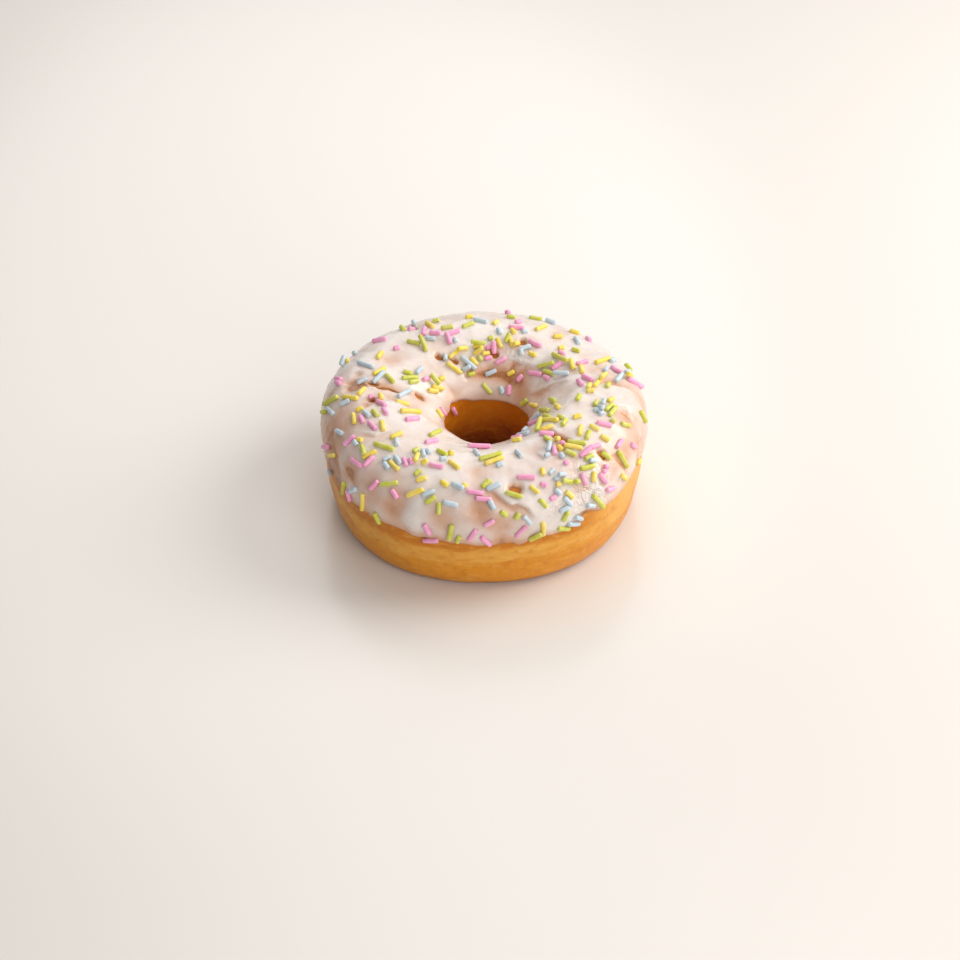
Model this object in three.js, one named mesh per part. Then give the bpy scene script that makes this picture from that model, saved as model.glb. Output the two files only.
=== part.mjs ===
// A ring doughnut with a poured icing cap, in millimetres, +Z up.
// It stands on the flat of its base, and the origin is the bottom centre of its box.
// Both pieces are closed rings: one section curve, carried around the hole with slow waves.

import * as THREE from "three";

// Driving dimensions of the ring
const RING_RADIUS = 28; // from the middle of the hole to the middle of the section
const RING_LEVEL = 22.1; // height of the widest part of the section
const HOLE_SHIFT = { x: 0.8, y: -0.2 }; // the hole was cut a little off centre

// The dough's section, seen from its middle: x is away from the hole, y is up
const OUTSIDE = 15.9;
const HOLE_SIDE = -15.7;
const CROWN = 10.7;
const BASE = -RING_LEVEL;
const BASE_OUTSIDE = 9.9;
const BASE_HOLE_SIDE = -7;

// Share of each quarter that its curve runs straight on: 0.55 is round, more is squarer
const ROUNDING = { crownOutside: 0.66, crownHole: 0.42, baseHole: 0.6, baseOutside: 0.68 };

// The icing cap
const ICING_THICKNESS = 1.1;
const ICING_CLEARANCE = 0.3; // between the icing and the dough
const ICING_LIP = 0.045; // how far along its curve each edge rounds off
const OUTER_EDGE_LEVEL = 17.9; // mean height of the icing's edge on the outside
const HOLE_EDGE_LEVEL = 22; // mean height of the icing's edge in the hole

// Slow waves around the ring: size in mm, number of lobes, angle of a crest in degrees
const OUTLINE_WAVES = [
  { size: 0.95, lobes: 2, crest: 90 },
  { size: 0.3, lobes: 3, crest: 23 },
  { size: 0.35, lobes: 4, crest: -43 },
  { size: 0.25, lobes: 5, crest: 18 },
];
const CROWN_WAVES = [
  { size: 0.8, lobes: 1, crest: 81 },
  { size: 0.6, lobes: 2, crest: -16 },
  { size: 0.7, lobes: 3, crest: -30 },
];
const OUTER_EDGE_WAVES = [
  { size: 0.7, lobes: 1, crest: 0 },
  { size: 0.9, lobes: 2, crest: 0 },
  { size: 0.5, lobes: 3, crest: -30 },
  { size: 0.25, lobes: 5, crest: -50 },
];
const HOLE_EDGE_WAVES = [
  { size: 0.8, lobes: 2, crest: 110 },
  { size: 0.7, lobes: 3, crest: 20 },
  { size: 0.4, lobes: 5, crest: 66 },
];
// A short rise of the outer edge, where the icing stopped higher up
const EDGE_NOTCH = { rise: 1.7, angle: -54, halfWidth: 6 };

// Facets
const TURN_STEPS = 72;
const STEPS_PER_CURVE = 6;
const BASE_STEPS = 2;

const { degToRad, radToDeg, smoothstep, lerp } = THREE.MathUtils;

function wave(waves, turn) {
  let sum = 0;
  for (const { size, lobes, crest } of waves) {
    sum += size * Math.cos(lobes * (turn - degToRad(crest)));
  }
  return sum;
}

function notchRise(turn) {
  const offset = turn - degToRad(EDGE_NOTCH.angle);
  const degrees = radToDeg(Math.atan2(Math.sin(offset), Math.cos(offset)));
  const closeness = Math.max(0, 1 - Math.abs(degrees) / EDGE_NOTCH.halfWidth);
  return EDGE_NOTCH.rise * smoothstep(closeness, 0, 1);
}

// A quarter of the section, from its widest or lowest point to the next one.
// It leaves `from` along the side given by `corner` and arrives at `to` along the other.
function quarter(from, corner, to, rounding) {
  return new THREE.CubicBezierCurve(
    from,
    from.clone().lerp(corner, rounding),
    to.clone().lerp(corner, rounding),
    to,
  );
}

// The section's curves in order: up the outside, over the crown, into the hole,
// down to the base. Station 1 is the widest point, 2 the crown and 3 the hole's side.
function makeSection() {
  const outside = new THREE.Vector2(OUTSIDE, 0);
  const crown = new THREE.Vector2(0, CROWN);
  const holeSide = new THREE.Vector2(HOLE_SIDE, 0);
  const baseHole = new THREE.Vector2(BASE_HOLE_SIDE, BASE);
  const baseOutside = new THREE.Vector2(BASE_OUTSIDE, BASE);
  const corner = (x, y) => new THREE.Vector2(x, y);
  return [
    quarter(baseOutside, corner(OUTSIDE, BASE), outside, ROUNDING.baseOutside),
    quarter(outside, corner(OUTSIDE, CROWN), crown, ROUNDING.crownOutside),
    quarter(crown, corner(HOLE_SIDE, CROWN), holeSide, ROUNDING.crownHole),
    quarter(holeSide, corner(HOLE_SIDE, BASE), baseHole, ROUNDING.baseHole),
    new THREE.LineCurve(baseHole, baseOutside),
  ];
}

const section = makeSection();
const WIDEST = 1;
const TOP = 2;
const HOLE_WALL = 3;

function curveAt(station) {
  const index = Math.min(Math.floor(station), section.length - 1);
  return { curve: section[index], share: station - index };
}

// A point of the section, moved out along its own normal
function raisedPoint(station, height) {
  const { curve, share } = curveAt(station);
  const along = curve.getTangent(share);
  const outward = new THREE.Vector2(along.y, -along.x);
  return curve.getPoint(share).addScaledVector(outward, height);
}

// The station between two others where the section has the given height
function stationAtLevel(level, low, high) {
  const height = level - RING_LEVEL;
  const rises = raisedPoint(high, 0).y > raisedPoint(low, 0).y;
  let [below, above] = rises ? [low, high] : [high, low];
  for (let halving = 0; halving < 30; halving += 1) {
    const middle = (below + above) / 2;
    if (raisedPoint(middle, 0).y < height) {
      below = middle;
    } else {
      above = middle;
    }
  }
  return (below + above) / 2;
}

// Puts a point of the section at an angle around the hole, with the slow waves
function placeOnRing(point, turn) {
  const holeShare = smoothstep(point.x / HOLE_SIDE, 0, 1);
  const outsideShare = smoothstep(point.x / OUTSIDE, 0, 1);
  const crownShare = smoothstep(point.y / CROWN, 0, 1);
  const radius = RING_RADIUS + point.x + wave(OUTLINE_WAVES, turn) * outsideShare;
  return new THREE.Vector3(
    radius * Math.cos(turn) + HOLE_SHIFT.x * holeShare,
    radius * Math.sin(turn) + HOLE_SHIFT.y * holeShare,
    RING_LEVEL + point.y + wave(CROWN_WAVES, turn) * crownShare,
  );
}

// A closed ring from a loop of section points for each angle around the hole
function ringGeometry(loopAt) {
  const positions = [];
  const indices = [];
  let loopLength = 0;
  for (let column = 0; column < TURN_STEPS; column += 1) {
    const turn = (2 * Math.PI * column) / TURN_STEPS;
    const loop = loopAt(turn);
    loopLength = loop.length;
    for (const point of loop) {
      positions.push(...placeOnRing(point, turn).toArray());
    }
  }
  for (let column = 0; column < TURN_STEPS; column += 1) {
    const nextColumn = (column + 1) % TURN_STEPS;
    for (let row = 0; row < loopLength; row += 1) {
      const nextRow = (row + 1) % loopLength;
      const a = column * loopLength + row;
      const b = nextColumn * loopLength + row;
      const c = nextColumn * loopLength + nextRow;
      const d = column * loopLength + nextRow;
      indices.push(a, b, c, a, c, d);
    }
  }
  const geometry = new THREE.BufferGeometry();
  geometry.setAttribute("position", new THREE.Float32BufferAttribute(positions, 3));
  geometry.setIndex(indices);
  geometry.computeVertexNormals();
  return geometry;
}

function doughLoop() {
  const loop = [];
  section.forEach((curve, index) => {
    const steps = index === section.length - 1 ? BASE_STEPS : STEPS_PER_CURVE;
    for (let step = 0; step < steps; step += 1) {
      loop.push(raisedPoint(index + step / steps, 0));
    }
  });
  return loop;
}

// The icing's rows lie on the dough's rows, with a few more towards each edge
function icingStations(start, end) {
  const firstRow = WIDEST + 1 / STEPS_PER_CURVE;
  const lastRow = HOLE_WALL - 2 / STEPS_PER_CURVE;
  const stations = [start, lerp(start, firstRow, 1 / 3), lerp(start, firstRow, 2 / 3)];
  const rows = Math.round((lastRow - firstRow) * STEPS_PER_CURVE);
  for (let row = 0; row <= rows; row += 1) {
    stations.push(firstRow + row / STEPS_PER_CURVE);
  }
  stations.push(lerp(lastRow, end, 1 / 2), end);
  return stations;
}

function icingLoop(turn) {
  const outerLevel = OUTER_EDGE_LEVEL + wave(OUTER_EDGE_WAVES, turn) + notchRise(turn);
  const holeLevel = HOLE_EDGE_LEVEL + wave(HOLE_EDGE_WAVES, turn);
  const start = stationAtLevel(outerLevel, 0, WIDEST);
  const end = stationAtLevel(holeLevel, TOP, HOLE_WALL);
  const stations = icingStations(start, end);
  const middle = ICING_CLEARANCE + ICING_THICKNESS / 2;
  const outer = stations.map((station) => raisedPoint(station, ICING_CLEARANCE + ICING_THICKNESS));
  const inner = stations.map((station) => raisedPoint(station, ICING_CLEARANCE)).reverse();
  const outerLip = raisedPoint(start - ICING_LIP, middle);
  const holeLip = raisedPoint(end + ICING_LIP, middle);
  return [outerLip, ...outer, holeLip, ...inner];
}

function makeDough() {
  const material = new THREE.MeshStandardMaterial({ color: "#cf8638", roughness: 0.55, metalness: 0 });
  const dough = new THREE.Mesh(ringGeometry(doughLoop), material);
  dough.name = "dough";
  return dough;
}

function makeIcing() {
  const material = new THREE.MeshStandardMaterial({ color: "#efe3dc", roughness: 0.3, metalness: 0 });
  const icing = new THREE.Mesh(ringGeometry(icingLoop), material);
  icing.name = "icing";
  return icing;
}

// Moves the pieces so that the origin is the bottom centre of the whole box
function standOnOrigin(group) {
  const box = new THREE.Box3().setFromObject(group);
  const centre = box.getCenter(new THREE.Vector3());
  group.position.set(-centre.x, -centre.y, -box.min.z);
  group.updateMatrixWorld(true);
}

const doughnut = new THREE.Group();
doughnut.add(makeDough());
doughnut.add(makeIcing());
standOnOrigin(doughnut);

export default doughnut;
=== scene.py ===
"""A ring doughnut with poured icing and sugar strands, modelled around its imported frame."""
import math
import random

import bpy
import numpy as np
from bpy.props import FloatProperty, FloatVectorProperty, IntProperty, PointerProperty
from bpy.types import Operator, Panel, PropertyGroup
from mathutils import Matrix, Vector, noise
from mathutils.bvhtree import BVHTree


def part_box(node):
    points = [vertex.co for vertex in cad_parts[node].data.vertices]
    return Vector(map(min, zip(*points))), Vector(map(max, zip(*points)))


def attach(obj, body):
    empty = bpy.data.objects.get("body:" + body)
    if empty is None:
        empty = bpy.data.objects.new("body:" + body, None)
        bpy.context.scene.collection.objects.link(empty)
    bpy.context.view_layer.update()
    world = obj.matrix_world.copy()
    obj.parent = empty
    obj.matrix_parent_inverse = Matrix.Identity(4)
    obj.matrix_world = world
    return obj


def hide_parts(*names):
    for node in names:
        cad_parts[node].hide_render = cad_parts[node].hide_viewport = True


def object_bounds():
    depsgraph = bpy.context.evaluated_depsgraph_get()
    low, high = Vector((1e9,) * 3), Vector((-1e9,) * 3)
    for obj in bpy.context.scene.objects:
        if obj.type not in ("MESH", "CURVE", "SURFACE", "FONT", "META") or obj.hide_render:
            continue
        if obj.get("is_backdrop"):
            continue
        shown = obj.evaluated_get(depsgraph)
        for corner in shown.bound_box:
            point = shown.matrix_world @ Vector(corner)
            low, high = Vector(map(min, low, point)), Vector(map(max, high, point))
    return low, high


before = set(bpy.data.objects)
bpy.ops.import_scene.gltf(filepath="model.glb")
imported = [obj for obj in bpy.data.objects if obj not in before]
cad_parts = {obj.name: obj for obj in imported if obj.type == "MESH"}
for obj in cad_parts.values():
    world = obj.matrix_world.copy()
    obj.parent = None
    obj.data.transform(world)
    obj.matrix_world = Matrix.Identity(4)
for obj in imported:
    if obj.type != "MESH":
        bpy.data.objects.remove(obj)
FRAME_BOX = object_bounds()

bl_info = {
    "name": "Iced Ring Doughnut",
    "version": (1, 0, 0),
    "blender": (4, 5, 0),
    "location": "View3D > Sidebar > Doughnut",
    "description": "Makes the dough, icing and sugar strands of a ring doughnut, and a stage for it",
    "category": "Add Mesh",
}

MM = 0.001
BODY = "root"

# ---------------------------------------------------------------- the ring's form

RING_RADIUS = 28 * MM  # from the middle of the hole to the middle of the section
RING_LEVEL = 22.1 * MM  # height of the widest part of the section
HOLE_SHIFT = (0.8 * MM, -0.2 * MM)  # the hole was cut a little off centre

# The dough's section, seen from its middle: x is away from the hole, y is up
OUTSIDE = 15.9 * MM
HOLE_SIDE = -15.7 * MM
CROWN = 10.7 * MM
BASE = -RING_LEVEL
BASE_OUTSIDE = 9.9 * MM
BASE_HOLE_SIDE = -7 * MM

# Stations along the section: 0 at the base's outer edge, then up the outside and over
WIDEST, TOP, HOLE_WALL = 1, 2, 3

# Slow waves around the ring: size, number of lobes, turn of a crest in degrees
OUTLINE_WAVES = ((0.95 * MM, 2, 90), (0.3 * MM, 3, 23), (0.35 * MM, 4, -43), (0.25 * MM, 5, 18))
CROWN_WAVES = ((0.8 * MM, 1, 81), (0.6 * MM, 2, -16), (0.7 * MM, 3, -30))
OUTER_EDGE_WAVES = ((0.7 * MM, 1, 0), (0.9 * MM, 2, 0), (0.5 * MM, 3, -30), (0.25 * MM, 5, -50))
HOLE_EDGE_WAVES = ((0.8 * MM, 2, 110), (0.7 * MM, 3, 20), (0.4 * MM, 5, 66))
OUTER_EDGE_LEVEL = 17.9 * MM
HOLE_EDGE_LEVEL = 22 * MM
EDGE_NOTCH = {"rise": 1.7 * MM, "turn": -54, "half_width": 6}

SHIFT_TURNS = 360  # turns at which the ring is measured to find its middle
LEVEL_STEPS = 400  # stations tried when one is looked up by its level
FRACTAL = (1.0, 2.0, 2)  # of the lumpy noise: its dimension, lacunarity and octaves


def quarter(start, corner, end, rounding):
    """A quarter of the section as a Bezier curve; 0.55 is round and more is squarer."""
    start, corner, end = np.array(start), np.array(corner), np.array(end)
    return start, start + (corner - start) * rounding, end + (corner - end) * rounding, end


SECTION = np.array([
    quarter((BASE_OUTSIDE, BASE), (OUTSIDE, BASE), (OUTSIDE, 0), 0.68),
    quarter((OUTSIDE, 0), (OUTSIDE, CROWN), (0, CROWN), 0.66),
    quarter((0, CROWN), (HOLE_SIDE, CROWN), (HOLE_SIDE, 0), 0.42),
    quarter((HOLE_SIDE, 0), (HOLE_SIDE, BASE), (BASE_HOLE_SIDE, BASE), 0.6),
    quarter((BASE_HOLE_SIDE, BASE), (0, BASE), (BASE_OUTSIDE, BASE), 0.5),
])


def smooth(value, low, high):
    """0 below low, 1 above high, and an S-shaped rise between them."""
    share = np.clip((value - low) / (high - low), 0, 1)
    return share * share * (3 - 2 * share)


def turns_around(count):
    """A column of turns, evenly spaced around the ring."""
    return np.linspace(0, 2 * math.pi, count, endpoint=False)[:, None]


def wave(waves, turn):
    return sum(size * np.cos(lobes * (turn - math.radians(crest))) for size, lobes, crest in waves)


def turn_between(turn, degrees):
    """Degrees from each turn to the given one, the short way round."""
    offset = turn - math.radians(degrees)
    return np.degrees(np.arctan2(np.sin(offset), np.cos(offset)))


def section_at(station):
    """Points of the section at the given stations, and its outward normals there."""
    index = np.clip(np.floor(station).astype(int), 0, len(SECTION) - 1)
    share = (station - index)[..., None]
    a, b, c, d = (SECTION[index, i] for i in range(4))
    rest = 1 - share
    point = a * rest**3 + 3 * b * rest**2 * share + 3 * c * rest * share**2 + d * share**3
    along = (b - a) * rest**2 + 2 * (c - b) * rest * share + (d - c) * share**2
    along /= np.linalg.norm(along, axis=-1, keepdims=True)
    outward = np.stack([along[..., 1], -along[..., 0]], -1)
    return point, outward


def station_at_level(level, low, high):
    """Stations between low and high where the section has the given heights."""
    stations = np.linspace(low, high, LEVEL_STEPS)
    heights = section_at(stations)[0][:, 1] + RING_LEVEL
    if heights[0] > heights[-1]:
        stations, heights = stations[::-1], heights[::-1]
    return np.interp(level, heights, stations)


def place_on_ring(point, turn):
    """Section points carried to their turns around the hole, with the slow waves."""
    hole_share = smooth(point[..., 0] / HOLE_SIDE, 0, 1)
    outside_share = smooth(point[..., 0] / OUTSIDE, 0, 1)
    crown_share = smooth(point[..., 1] / CROWN, 0, 1)
    radius = RING_RADIUS + point[..., 0] + wave(OUTLINE_WAVES, turn) * outside_share
    return np.stack([
        radius * np.cos(turn) + HOLE_SHIFT[0] * hole_share,
        radius * np.sin(turn) + HOLE_SHIFT[1] * hole_share,
        RING_LEVEL + point[..., 1] + wave(CROWN_WAVES, turn) * crown_share,
    ], -1)


def raised_on_ring(turn, station, height):
    """Points of the ring's form, moved out along the section's own normal."""
    point, outward = section_at(station)
    return place_on_ring(point + outward * height[..., None], turn)


def ring_shift():
    """From the middle of the ring to the frame's own place for the dough."""
    turn = turns_around(SHIFT_TURNS)
    station = np.linspace(WIDEST - 0.1, WIDEST + 0.1, 9)[None, :] + 0 * turn
    plain = raised_on_ring(turn, station, 0 * station)
    middle = (plain.min((0, 1)) + plain.max((0, 1)))[:2] / 2
    low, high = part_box("dough")
    return np.array([(low[0] + high[0]) / 2 - middle[0], (low[1] + high[1]) / 2 - middle[1], 0])


def noise_at(places, size, seed):
    """Coherent noise from about -1 to 1, with lumps of about the given size."""
    shift = Vector((seed * 7.31, seed * -3.17, seed * 5.53))
    flat = (places / size).reshape(-1, 3)
    values = [noise.fractal(Vector(p) + shift, *FRACTAL) for p in flat.tolist()]
    return np.array(values).reshape(places.shape[:-1])


def smooth_mesh(name, corners, faces):
    """A mesh whose faces are shaded smooth."""
    mesh = bpy.data.meshes.new(name)
    mesh.from_pydata(corners, [], faces)
    mesh.polygons.foreach_set("use_smooth", [True] * len(mesh.polygons))
    mesh.update()
    return mesh


def ring_mesh(name, points, fields):
    """A mesh of closed loops, one for each turn, joined all the way round, with named fields."""
    turns, rows = points.shape[:2]
    corner = np.arange(turns * rows).reshape(turns, rows)
    next_turn = np.roll(corner, -1, 0)
    faces = np.stack([corner, next_turn, np.roll(next_turn, -1, 1), np.roll(corner, -1, 1)], -1)
    mesh = smooth_mesh(name, points.reshape(-1, 3), faces.reshape(-1, 4).tolist())
    for label, field in fields.items():
        layer = mesh.attributes.new(label, "FLOAT", "POINT")
        layer.data.foreach_set("value", field.reshape(-1).astype(np.float32))
    return mesh


def add_piece(name, mesh, material):
    """Links a mesh as a piece of the doughnut and fixes it to the frame."""
    piece = bpy.data.objects.new(name, mesh)
    bpy.context.scene.collection.objects.link(piece)
    mesh.materials.append(material)
    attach(piece, BODY)
    return piece


# ---------------------------------------------------------------- shader maths


class Field:
    """A value or colour inside a material, so that shader maths reads as plain sums."""

    def __init__(self, finish, socket):
        self.finish = finish
        self.socket = socket

    def __add__(self, other):
        return self.finish.math("ADD", self, other)

    def __sub__(self, other):
        return self.finish.math("SUBTRACT", self, other)

    def __rsub__(self, other):
        return self.finish.math("SUBTRACT", other, self)

    def __mul__(self, other):
        return self.finish.math("MULTIPLY", self, other)

    __radd__ = __add__
    __rmul__ = __mul__


class Finish:
    """One material, made node by node; its shader's sockets are fed last."""

    def __init__(self, name):
        self.material = bpy.data.materials.new(name)
        self.material.use_nodes = True
        self.tree = self.material.node_tree
        self.shader = self.tree.nodes["Principled BSDF"]

    def feed(self, socket, value):
        if isinstance(value, Field):
            self.tree.links.new(value.socket, socket)
        elif socket.type == "RGBA":
            socket.default_value = (*value, 1)
        else:
            socket.default_value = value

    def node(self, kind, settings=None, sockets=None, output=0):
        """Adds a node: its settings first, then the values or links of its sockets."""
        made = self.tree.nodes.new(kind)
        for name, value in (settings or {}).items():
            setattr(made, name, value)
        for name, value in (sockets or {}).items():
            self.feed(made.inputs[name], value)
        return Field(self, made.outputs[output])

    def math(self, operation, a, b):
        return self.node("ShaderNodeMath", {"operation": operation}, {0: a, 1: b})

    def clamped(self, value):
        return self.node("ShaderNodeClamp", None, {"Value": value})

    def steps(self, value, low, high):
        """0 below low, 1 above high, with an S-shaped rise."""
        sockets = {"Value": value, "From Min": low, "From Max": high}
        return self.node("ShaderNodeMapRange", {"interpolation_type": "SMOOTHSTEP"}, sockets)

    def mix(self, share, a, b):
        """Colour a where share is 0, and colour b where it is 1."""
        # the node has its colours at sockets 6 and 7, and their mix at output 2
        return self.node("ShaderNodeMix", {"data_type": "RGBA"}, {0: share, 6: a, 7: b}, output=2)

    def layered(self, colour, *layers):
        """A colour with others laid over it, each where its share is 1."""
        for share, layer in layers:
            colour = self.mix(share, colour, layer)
        return colour

    def attribute(self, name):
        return self.node("ShaderNodeAttribute", {"attribute_name": name}, output="Fac")

    def place(self, stretch=(1, 1, 1)):
        """The point's place in metres, each axis multiplied by its stretch."""
        place = self.node("ShaderNodeTexCoord", output="Object")
        if stretch == (1, 1, 1):
            return place
        return self.node("ShaderNodeVectorMath", {"operation": "MULTIPLY"}, {0: place, 1: stretch})

    def height(self):
        return self.node("ShaderNodeSeparateXYZ", None, {0: self.place()}, output="Z")

    def noise(self, size, detail, stretch=(1, 1, 1), distortion=0):
        """Cloudy noise from 0 to 1, about 0.5, with clouds of about the given size."""
        sockets = {
            "Vector": self.place(stretch), "Scale": 1 / size, "Detail": detail, "Distortion": distortion}
        return self.node("ShaderNodeTexNoise", None, sockets)

    def bumps(self, *layers):
        """A normal from heights of 0 to 1, laid one on another, each for its own depth in metres."""
        below = {}
        for height, depth in layers:
            sockets = {"Height": height, "Distance": depth, "Strength": 1, **below}
            below = {"Normal": self.node("ShaderNodeBump", None, sockets)}
        return below["Normal"]

    def shade(self, **sockets):
        """Feeds the shader: base_color feeds Base Color, and so on."""
        for name, value in sockets.items():
            label = " ".join(word if word == "IOR" else word.capitalize() for word in name.split("_"))
            self.feed(self.shader.inputs[label], value)
        return self.material


# ---------------------------------------------------------------- dough

DOUGH_TURNS = 480
DOUGH_ROWS = (46, 40, 34, 26, 6)  # rows on each curve of the section
LUMP_SIZE = 13 * MM
SMALL_LUMP_SIZE = 5 * MM
BASE_FADE = 3 * MM  # height over which the lumps fade out above the flat base

# The pale line that floated just above the oil, and the side where it spreads up to the icing in place of the
# painted shade under the icing's lip
BAND_LEVEL = 12.2 * MM
BAND_WAVES = ((0.6 * MM, 1, 180), (1.2 * MM, 3, 58))
PALE_SIDE = {"turn": -15, "half_width": 45}

# Broad dents, negative where the dough bulges: turn and half width in degrees,
# station and its half width, depth
DENTS = (
    (-95, 65, 2.5, 0.35, 0.7 * MM),  # the near side of the hole's rim
    (-168, 28, 1.2, 0.7, -0.4 * MM), (3, 26, 1.45, 0.5, -0.3 * MM),
)


def dough_lumps(turn, station, size):
    """How far the dough stands proud of its plain form; nothing on the flat base."""
    place = place_on_ring(section_at(station)[0], turn)
    above_base = smooth(place[..., 2], 0, BASE_FADE)
    swell = size * (noise_at(place, LUMP_SIZE, 1) + 0.35 * noise_at(place, SMALL_LUMP_SIZE, 2))
    for middle, half_width, centre, reach, depth in DENTS:
        around = turn_between(turn, middle) / half_width
        swell = swell - depth * np.exp(-(around**2) - ((station - centre) / reach) ** 2)
    return swell * above_base


def dough_finish(settings):
    """Fried crust: golden, with a pale line round its side, and painted shade low in the hole, along the
    base, under the icing's lip and in the pits.
    """
    crust = Finish("fried_crust")
    blotches = crust.noise(7 * MM, 4, stretch=(1, 1, 1.6)) - 0.5
    streaks = crust.noise(5 * MM, 5, stretch=(1, 1, 4)) - 0.5
    specks = crust.noise(1.6 * MM, 4)
    above = crust.attribute("above_band") + blotches * (4 * MM)
    height = crust.height() + blotches * (2 * MM)
    # the strip just under the icing's lip, painted dark as the lip's shade except on the pale side
    lip_shade_strip = crust.steps(above, 0.8 * MM, 3.2 * MM)
    band = crust.steps(above, -3.6 * MM, -0.8 * MM) * (1 - lip_shade_strip)
    pale_side = crust.attribute("pale_side")
    # painted shade in the hole: its wall darkens to the deepest colour low down
    hole_shade_height = height + blotches * (14 * MM)
    wall = crust.layered(
        settings.deep,
        (crust.steps(hole_shade_height, 4 * MM, 18 * MM), settings.inside),
        (crust.steps(specks + streaks * 0.5, 0.5, 0.68) * 0.5, settings.crust),
    )
    colour = crust.layered(
        settings.crust,
        # painted shade under the icing's lip
        (lip_shade_strip * (1 - pale_side) * 0.9, settings.underside),
        (lip_shade_strip * pale_side * 0.7, settings.band),
        (band * crust.clamped(0.6 + streaks * 1.6), settings.band),
        (crust.steps(streaks, 0.03, 0.2) * 0.45, settings.band),
        (crust.steps(blotches, -0.04, -0.2) * 0.6, settings.underside),
        (crust.steps(specks, 0.56, 0.7) * 0.45, settings.underside),
        (crust.steps(specks, 0.46, 0.3) * 0.3, settings.band),
        # painted shade along the base, where the dough meets the floor
        (0.7 - crust.steps(height, 0.2 * MM, 2.6 * MM) * 0.7, settings.deep),
        # darker at the crown, which shows only in the pits and cracks: painted shade of the pits
        (crust.steps(height, 23 * MM, 26 * MM) * 0.5, settings.deep),
        (crust.attribute("inside"), wall),
    )
    waves = crust.noise(4 * MM, 4, stretch=(1, 1, 1.5))
    bumps = crust.bumps((waves, 0.45 * MM), (streaks, 0.2 * MM), (specks, 0.2 * MM))
    return crust.shade(
        base_color=colour, roughness=0.4 + blotches * 0.2, normal=bumps, specular_IOR_level=0.3,
        subsurface_weight=0.15, subsurface_radius=(1.0, 0.4, 0.15), subsurface_scale=1.5 * MM)


def make_dough(settings):
    turn = turns_around(DOUGH_TURNS)
    rows = [index + np.arange(count) / count for index, count in enumerate(DOUGH_ROWS)]
    station = np.concatenate(rows)[None, :] + 0 * turn
    turn = turn + 0 * station
    points = raised_on_ring(turn, station, dough_lumps(turn, station, settings.lumps))
    pale_side = 1 - np.abs(turn_between(turn, PALE_SIDE["turn"])) / PALE_SIDE["half_width"]
    fields = {
        "inside": smooth(station, TOP + 0.5, HOLE_WALL + 0.2),
        "above_band": points[..., 2] - BAND_LEVEL - wave(BAND_WAVES, turn),
        "pale_side": smooth(pale_side, 0, 0.5),
    }
    mesh = ring_mesh("dough_ring", points + ring_shift(), fields)
    piece = add_piece("dough_ring", mesh, dough_finish(settings))
    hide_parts("dough")


# ---------------------------------------------------------------- icing

ICING_TURNS = 700
ICING_ROWS = 132
UNDERSIDE_ROWS = 8
ICING_SINK = 0.35 * MM  # how far its hidden underside reaches into the dough
EDGE_WIDTH = 0.9 * MM  # how far from its edge the icing rounds off
ROW_CROWDING = 0.6  # how much closer together its rows lie towards its two edges
POOL_SIZE = 11 * MM
RIPPLE_SIZE = 4 * MM
WRINKLE_SIZE = 3.6 * MM
LEFT_IN_HOLLOWS = 0.25 * MM  # the least icing that a hollow leaves
CRACK_DEPTH = 1.6 * MM
THINNEST = -0.2 * MM  # a crack as deep as this shows the dough
HIDES_DOUGH = 1.35 * MM  # icing as thick as this hides the dough's colour
THIN_EDGE = 4 * MM  # how far from its outer edge the icing is thinner
TOP_STARTS = (25 * MM, 27 * MM)  # levels between which a wall turns into the top
EDGE_RIPPLES = ((0.45 * MM, 6 * MM), (0.2 * MM, 2 * MM))  # height and size
ROW_SAMPLES = 3001  # stations at which the length along the section is known

# Cracks of the top where the icing broke as it set: x and y of both ends and radius in mm
CRACKS = (
    (7.3, -38.7, 8.3, -38.8, 1.5), (17.0, -20.0, 19.3, -21.8, 0.75), (20.1, -22.5, 21.2, -23.5, 0.7),
    (29.6, -25.8, 29.9, -26.1, 1.0), (-29.6, 3.0, -28.5, 2.4, 0.5),
    (-27.3, 0.4, -23.3, -0.7, 0.65), (-29.5, -5.5, -28.6, -5.9, 0.7), (-17.5, 2.1, -17.2, 2.0, 1.0),
    (-12.8, 17.4, -11.2, 17.4, 0.5), (-9.0, 17.6, -7.4, 17.1, 0.45), (2.3, 20.5, 3.5, 19.6, 0.65),
    (-20.1, 31.8, -19.0, 29.8, 0.6), (10.0, 23.2, 11.4, 23.2, 0.5),
)

# Soft hollows of the top, where the icing ran thin: x, y, radius and depth in mm.
# A depth below 0 is a swelling, in the next tables too.
TOP_HOLLOWS = (
    (-24.6, 13.9, 3.2, 0.75), (-1.0, -32.7, 2.6, 0.35), (2.0, -33.5, 1.8, 0.2), (20.3, 27.0, 1.8, 0.5),
    (29.9, 10.0, 3.2, 0.4), (34.3, 3.0, 3.0, 0.35), (36.6, -9.4, 1.6, 0.35), (37.9, -6.7, 2.4, -0.4),
    (40.0, -11.0, 1.9, -0.45), (39.5, -14.5, 3.0, -0.2), (38.0, -15.0, 6.5, 0.3), (35.0, -12.0, 4.5, 0.2),
    (34.5, -21.0, 4.5, 0.2), (31.5, -26.0, 2.6, 0.3), (13.0, -27.0, 2.4, 0.3), (-33.5, 2.0, 3.4, 0.35),
    (-34.3, 2.0, 2.0, 1.6), (-26.5, -0.5, 3.4, 0.4), (-17.3, 1.8, 2.4, 0.8), (-30.8, -7.9, 1.1, 0.5),
    (-33.4, 7.8, 1.3, 0.55), (-40.2, 2.4, 1.6, 0.5), (-29.5, -5.5, 2.2, 0.4), (19.5, -22.5, 3.2, 0.4),
    (-11.0, 17.0, 4.0, 0.4), (3.0, 20.5, 3.0, 0.4), (11.0, 22.5, 3.5, 0.3), (-35.5, -12.0, 4.0, 0.3),
    (-9.0, -25.5, 3.0, 0.2), (22.0, 9.0, 3.0, 0.25), (-20.0, 30.5, 3.0, 0.4),
)

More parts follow.
